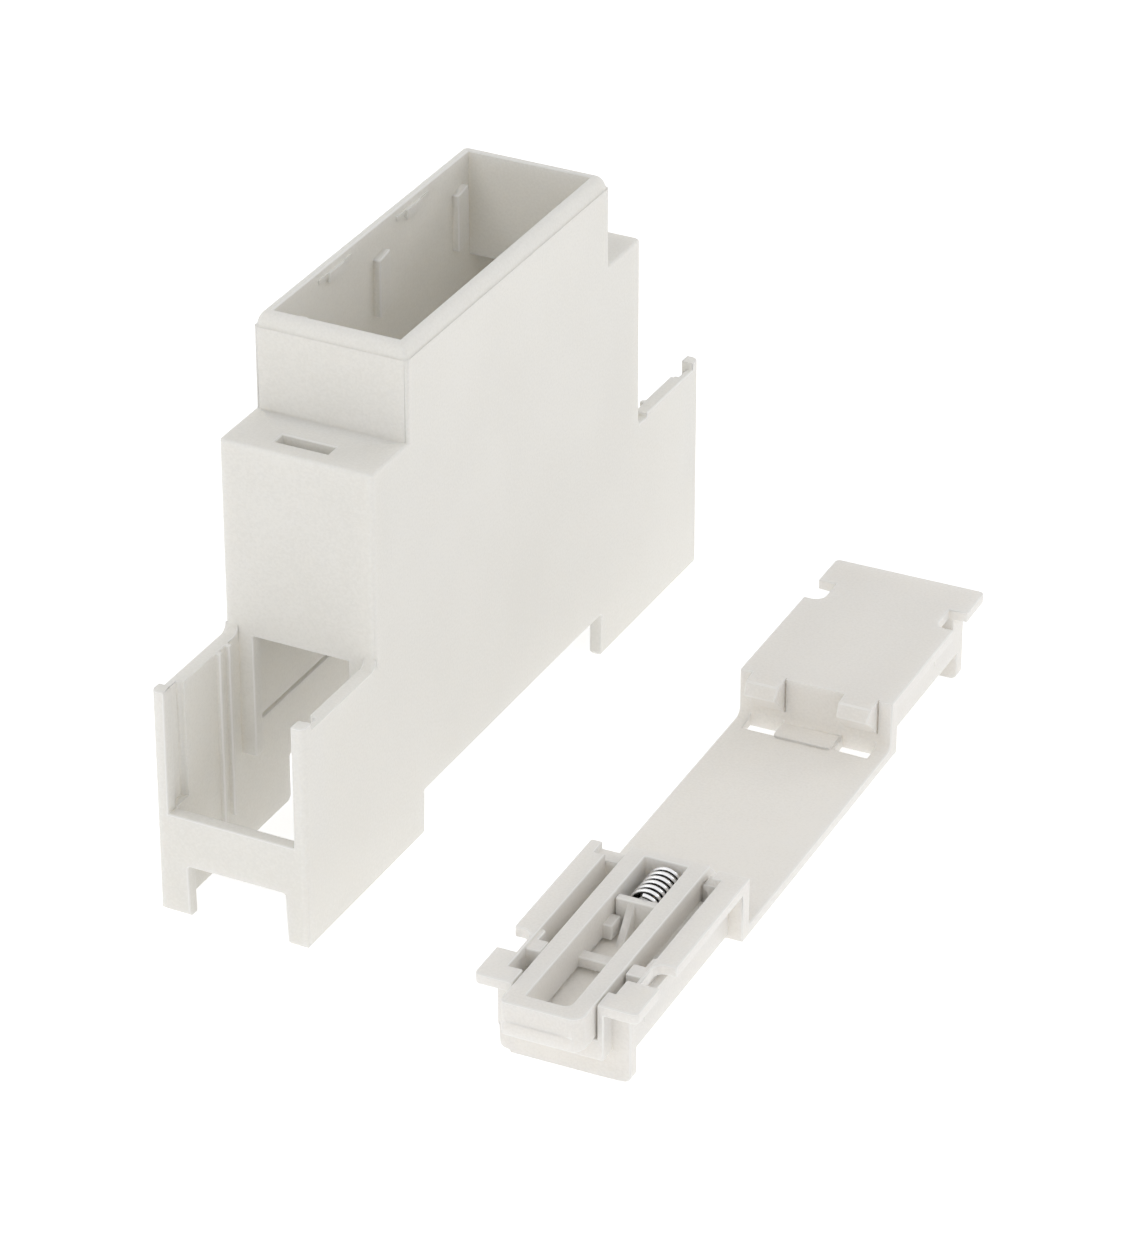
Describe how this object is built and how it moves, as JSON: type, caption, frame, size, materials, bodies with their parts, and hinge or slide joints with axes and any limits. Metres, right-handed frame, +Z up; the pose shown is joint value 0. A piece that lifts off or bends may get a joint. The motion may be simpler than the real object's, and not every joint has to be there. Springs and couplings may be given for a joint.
{
  "type": "din rail enclosure",
  "caption": "Narrow stepped plastic enclosure for a mounting rail, open at nose, terminal bays and underside, with its separate stepped foot: fixed hooks and a spring-loaded latch.",
  "frame": {"origin": "centre of the overall box at the surface that the pair stands on: the ends of the housing's legs and the foot's two end plates", "axes": "+Z up, out of the housing's nose; +Y along the housing from the latch's end to the far end; +X from the housing towards the foot that lies beside it"},
  "size_m": [0.0584, 0.102, 0.058],
  "materials": {
    "housing": "fine spark-eroded, warm light grey",
    "foot": "fine spark-eroded, warm light grey",
    "latch": "smooth, warm light grey",
    "spring": "drawn wire, bright"
  },
  "bodies": {
    "set": {"housing_shell": "housing", "rail_foot": "foot", "latch_spring": "spring"},
    "latch": {"rail_latch": "latch"}
  },
  "joints": [
    {"name": "latch_slide", "type": "slide", "parent": "set", "child": "latch", "axis": [0.0279, -0.9996, 0], "range_m": [0, 0.0026], "stiffness_N_per_m": 1000, "springref_m": -0.001, "deforming": ["latch_spring"]}
  ]
}
